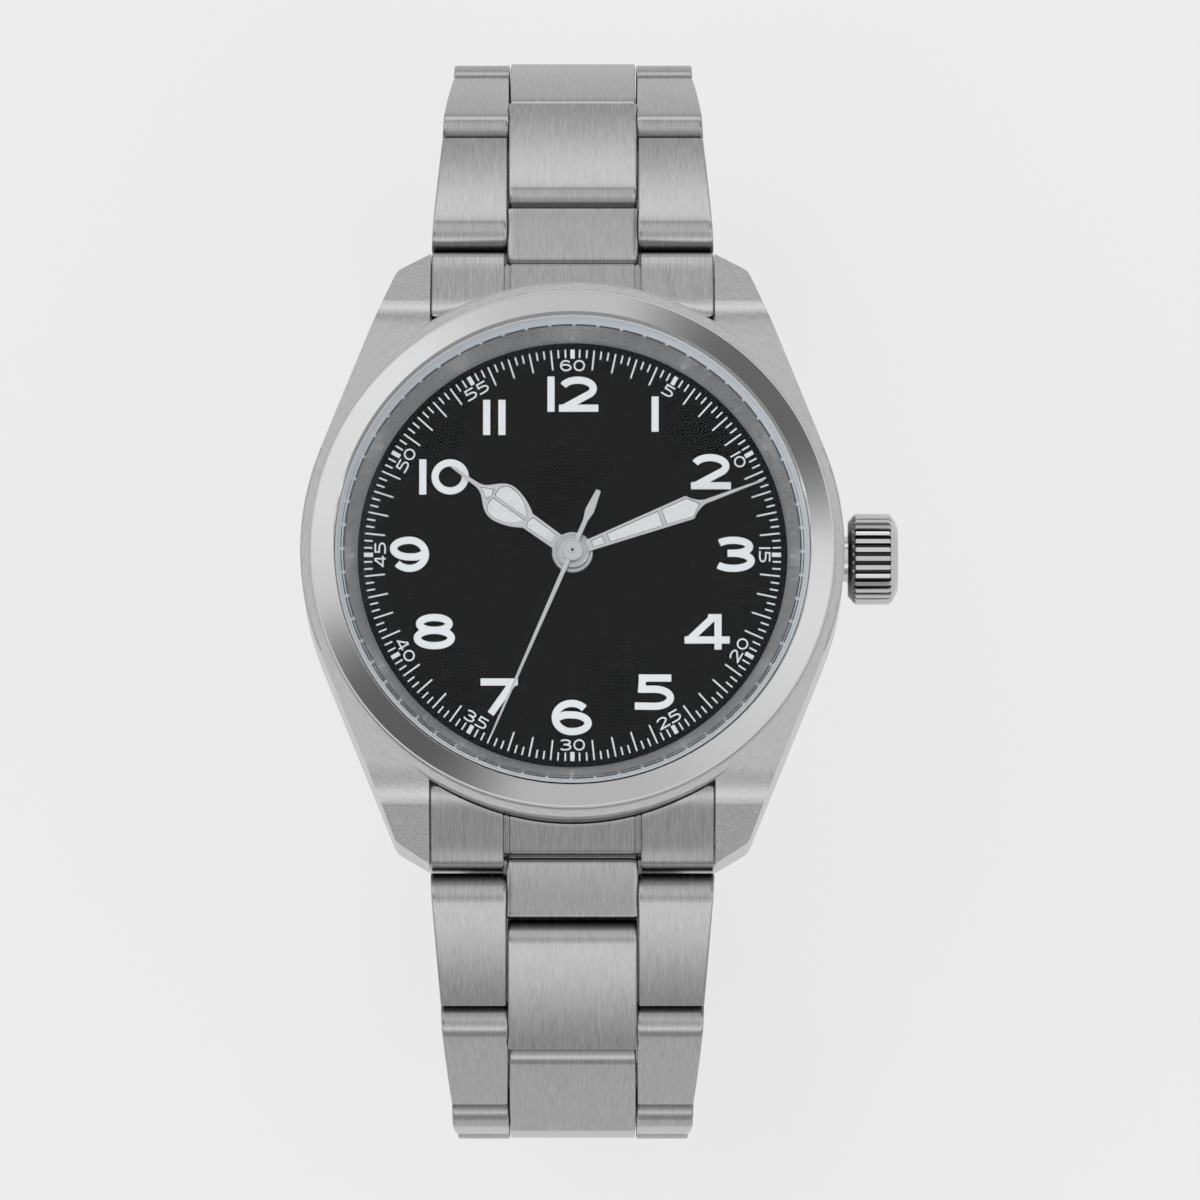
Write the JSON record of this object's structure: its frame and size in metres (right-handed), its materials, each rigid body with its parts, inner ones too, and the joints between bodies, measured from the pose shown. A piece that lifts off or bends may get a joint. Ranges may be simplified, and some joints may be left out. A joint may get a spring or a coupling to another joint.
{
  "type": "field wristwatch",
  "caption": "Field wristwatch with a black dial, luminous hands, fluted crown and a tapering three-row steel bracelet with a folding clasp.",
  "frame": {"origin": "middle of the case back's flat face", "axes": "+Z out of the dial, +Y towards 12 o'clock, +X towards the crown"},
  "size_m": [0.0419, 0.078, 0.0512],
  "materials": {
    "case_brushed": "brushed",
    "bezel_polished": "polished",
    "crystal_sapphire": "polished, coated",
    "gasket_rubber": "matt",
    "chapter_steel": "circular brushed",
    "dial_black": "matt",
    "ring_plastic": "matt",
    "movement_plate": "rhodium plated",
    "movement_brass": "satin",
    "balance_brass": "polished",
    "rotor_steel": "satin",
    "hand_steel": "satin",
    "tube_steel": "satin",
    "crown_polished": "polished",
    "case_back_steel": "circular brushed",
    "end_link_steel": "brushed",
    "link_steel": "brushed lengthwise",
    "clasp_steel": "brushed lengthwise",
    "blade_steel": "satin",
    "button_steel": "polished"
  },
  "bodies": {
    "case": {"mid_case": "case_brushed", "bezel": "bezel_polished", "crystal": "crystal_sapphire", "crystal_gasket": "gasket_rubber", "chapter_ring": "chapter_steel", "dial": "dial_black", "movement_ring": "ring_plastic", "main_plate": "movement_plate", "train_bridge": "movement_plate", "balance_cock": "movement_plate", "crown_tube": "tube_steel", "case_back": "case_back_steel", "case_back_gasket": "gasket_rubber", "lug_spring_bars": "tube_steel", "end_link_12": "end_link_steel", "end_link_6": "end_link_steel", "end_link_centre_12": "link_steel", "end_link_centre_6": "link_steel"},
    "setting_lever": {"setting_lever": "movement_plate"},
    "crown": {"crown": "crown_polished", "winding_stem": "tube_steel"},
    "hour_hand": {"hour_hand": "hand_steel", "hour_wheel": "movement_brass"},
    "minute_hand": {"minute_hand": "hand_steel", "centre_wheel": "movement_brass"},
    "seconds_hand": {"seconds_hand": "hand_steel", "seconds_wheel": "movement_brass"},
    "barrel": {"mainspring_barrel": "movement_brass"},
    "balance": {"balance_wheel": "balance_brass"},
    "rotor": {"rotor": "rotor_steel"},
    "link_12_1": {"link_12_1_outers": "link_steel", "link_12_1_centre": "link_steel"},
    "link_12_2": {"link_12_2_outers": "link_steel", "link_12_2_centre": "link_steel"},
    "link_12_3": {"link_12_3_outers": "link_steel", "link_12_3_centre": "link_steel"},
    "link_12_4": {"link_12_4_outers": "link_steel", "link_12_4_centre": "link_steel"},
    "link_12_5": {"link_12_5_outers": "link_steel", "link_12_5_centre": "link_steel"},
    "link_12_6": {"link_12_6_outers": "link_steel", "link_12_6_centre": "link_steel"},
    "link_6_1": {"link_6_1_outers": "link_steel", "link_6_1_centre": "link_steel"},
    "link_6_2": {"link_6_2_outers": "link_steel", "link_6_2_centre": "link_steel"},
    "link_6_3": {"link_6_3_outers": "link_steel", "link_6_3_centre": "link_steel"},
    "link_6_4": {"link_6_4_outers": "link_steel", "link_6_4_centre": "link_steel"},
    "link_6_5": {"link_6_5_outers": "link_steel", "link_6_5_centre": "link_steel"},
    "link_6_6": {"link_6_6_outers": "link_steel", "link_6_6_centre": "link_steel", "clasp_spring_bar": "tube_steel"},
    "clasp_cover": {"clasp_cover": "clasp_steel"},
    "outer_blade": {"clasp_outer_blade": "blade_steel"},
    "inner_blade": {"clasp_inner_blade": "blade_steel"},
    "button_left": {"clasp_button_left": "button_steel"},
    "button_right": {"clasp_button_right": "button_steel"}
  },
  "joints": [
    {"name": "crown_pull", "type": "slide", "parent": "case", "child": "setting_lever", "axis": [1, 0, 0], "range_m": [0, 0.0012]},
    {"name": "crown_turn", "type": "hinge", "parent": "setting_lever", "child": "crown", "pos_m": [0.0193, 0, 0.0052], "axis": [1, 0, 0], "continuous": true},
    {"name": "minute_turn", "type": "hinge", "parent": "case", "child": "minute_hand", "pos_m": [0, 0, 0.0083], "axis": [0, 0, -1], "continuous": true},
    {"name": "hour_turn", "type": "hinge", "parent": "case", "child": "hour_hand", "pos_m": [0, 0, 0.0078], "axis": [0, 0, -1], "continuous": true},
    {"name": "seconds_turn", "type": "hinge", "parent": "case", "child": "seconds_hand", "pos_m": [0, 0, 0.0089], "axis": [0, 0, -1], "continuous": true},
    {"name": "barrel_turn", "type": "hinge", "parent": "case", "child": "barrel", "pos_m": [-0.0082, 0.0012, 0.0037], "axis": [0, 0, -1], "continuous": true},
    {"name": "balance_swing", "type": "hinge", "parent": "case", "child": "balance", "pos_m": [0.0034, -0.0092, 0.0036], "axis": [0, 0, 1], "range_deg": [-280, 280], "stiffness_Nm_per_rad": 0.000001},
    {"name": "rotor_turn", "type": "hinge", "parent": "case", "child": "rotor", "pos_m": [0, 0, 0.002], "axis": [0, 0, 1], "continuous": true},
    {"name": "hinge_12_1", "type": "hinge", "parent": "case", "child": "link_12_1", "pos_m": [0, 0.02365, 0.0035], "axis": [1, 0, 0], "range_deg": [0, 35]},
    {"name": "hinge_12_2", "type": "hinge", "parent": "link_12_1", "child": "link_12_2", "pos_m": [0, 0.03188, -0.00125], "axis": [1, 0, 0], "range_deg": [0, 34]},
    {"name": "hinge_12_3", "type": "hinge", "parent": "link_12_2", "child": "link_12_3", "pos_m": [0, 0.03677, -0.00939], "axis": [1, 0, 0], "range_deg": [0, 38]},
    {"name": "hinge_12_4", "type": "hinge", "parent": "link_12_3", "child": "link_12_4", "pos_m": [0, 0.03644, -0.01889], "axis": [1, 0, 0], "range_deg": [0, 28]},
    {"name": "hinge_12_5", "type": "hinge", "parent": "link_12_4", "child": "link_12_5", "pos_m": [0, 0.03242, -0.0275], "axis": [1, 0, 0], "range_deg": [0, 29]},
    {"name": "hinge_12_6", "type": "hinge", "parent": "link_12_5", "child": "link_12_6", "pos_m": [0, 0.02525, -0.03373], "axis": [1, 0, 0], "range_deg": [0, 27]},
    {"name": "hinge_6_1", "type": "hinge", "parent": "case", "child": "link_6_1", "pos_m": [0, -0.02365, 0.0035], "axis": [-1, 0, 0], "range_deg": [0, 35]},
    {"name": "hinge_6_2", "type": "hinge", "parent": "link_6_1", "child": "link_6_2", "pos_m": [0, -0.03188, -0.00125], "axis": [-1, 0, 0], "range_deg": [0, 34]},
    {"name": "hinge_6_3", "type": "hinge", "parent": "link_6_2", "child": "link_6_3", "pos_m": [0, -0.03677, -0.00939], "axis": [-1, 0, 0], "range_deg": [0, 38]},
    {"name": "hinge_6_4", "type": "hinge", "parent": "link_6_3", "child": "link_6_4", "pos_m": [0, -0.03644, -0.01889], "axis": [-1, 0, 0], "range_deg": [0, 28]},
    {"name": "hinge_6_5", "type": "hinge", "parent": "link_6_4", "child": "link_6_5", "pos_m": [0, -0.03242, -0.0275], "axis": [-1, 0, 0], "range_deg": [0, 29]},
    {"name": "hinge_6_6", "type": "hinge", "parent": "link_6_5", "child": "link_6_6", "pos_m": [0, -0.02525, -0.03373], "axis": [-1, 0, 0], "range_deg": [0, 27]},
    {"name": "cover_hinge", "type": "hinge", "parent": "link_12_6", "child": "clasp_cover", "pos_m": [0, 0.01627, -0.03682], "axis": [1, 0, 0], "range_deg": [0, 24]},
    {"name": "clasp_open", "type": "hinge", "parent": "clasp_cover", "child": "outer_blade", "pos_m": [0, -0.01227, -0.03852], "axis": [1, 0, 0], "range_deg": [0, 100]},
    {"name": "blade_fold", "type": "hinge", "parent": "outer_blade", "child": "inner_blade", "pos_m": [0, 0.01067, -0.03772], "axis": [-1, 0, 0], "range_deg": [0, 100]},
    {"name": "button_right_press", "type": "slide", "parent": "clasp_cover", "child": "button_right", "axis": [-1, 0, 0], "range_m": [0, 0.0008], "stiffness_N_per_m": 200},
    {"name": "button_left_press", "type": "slide", "parent": "clasp_cover", "child": "button_left", "axis": [1, 0, 0], "range_m": [0, 0.0008], "stiffness_N_per_m": 200}
  ],
  "couplings": [
    {"joint": "hour_turn", "follows": "minute_turn", "ratio": 0.083333},
    {"joint": "barrel_turn", "follows": "minute_turn", "ratio": -0.125}
  ]
}
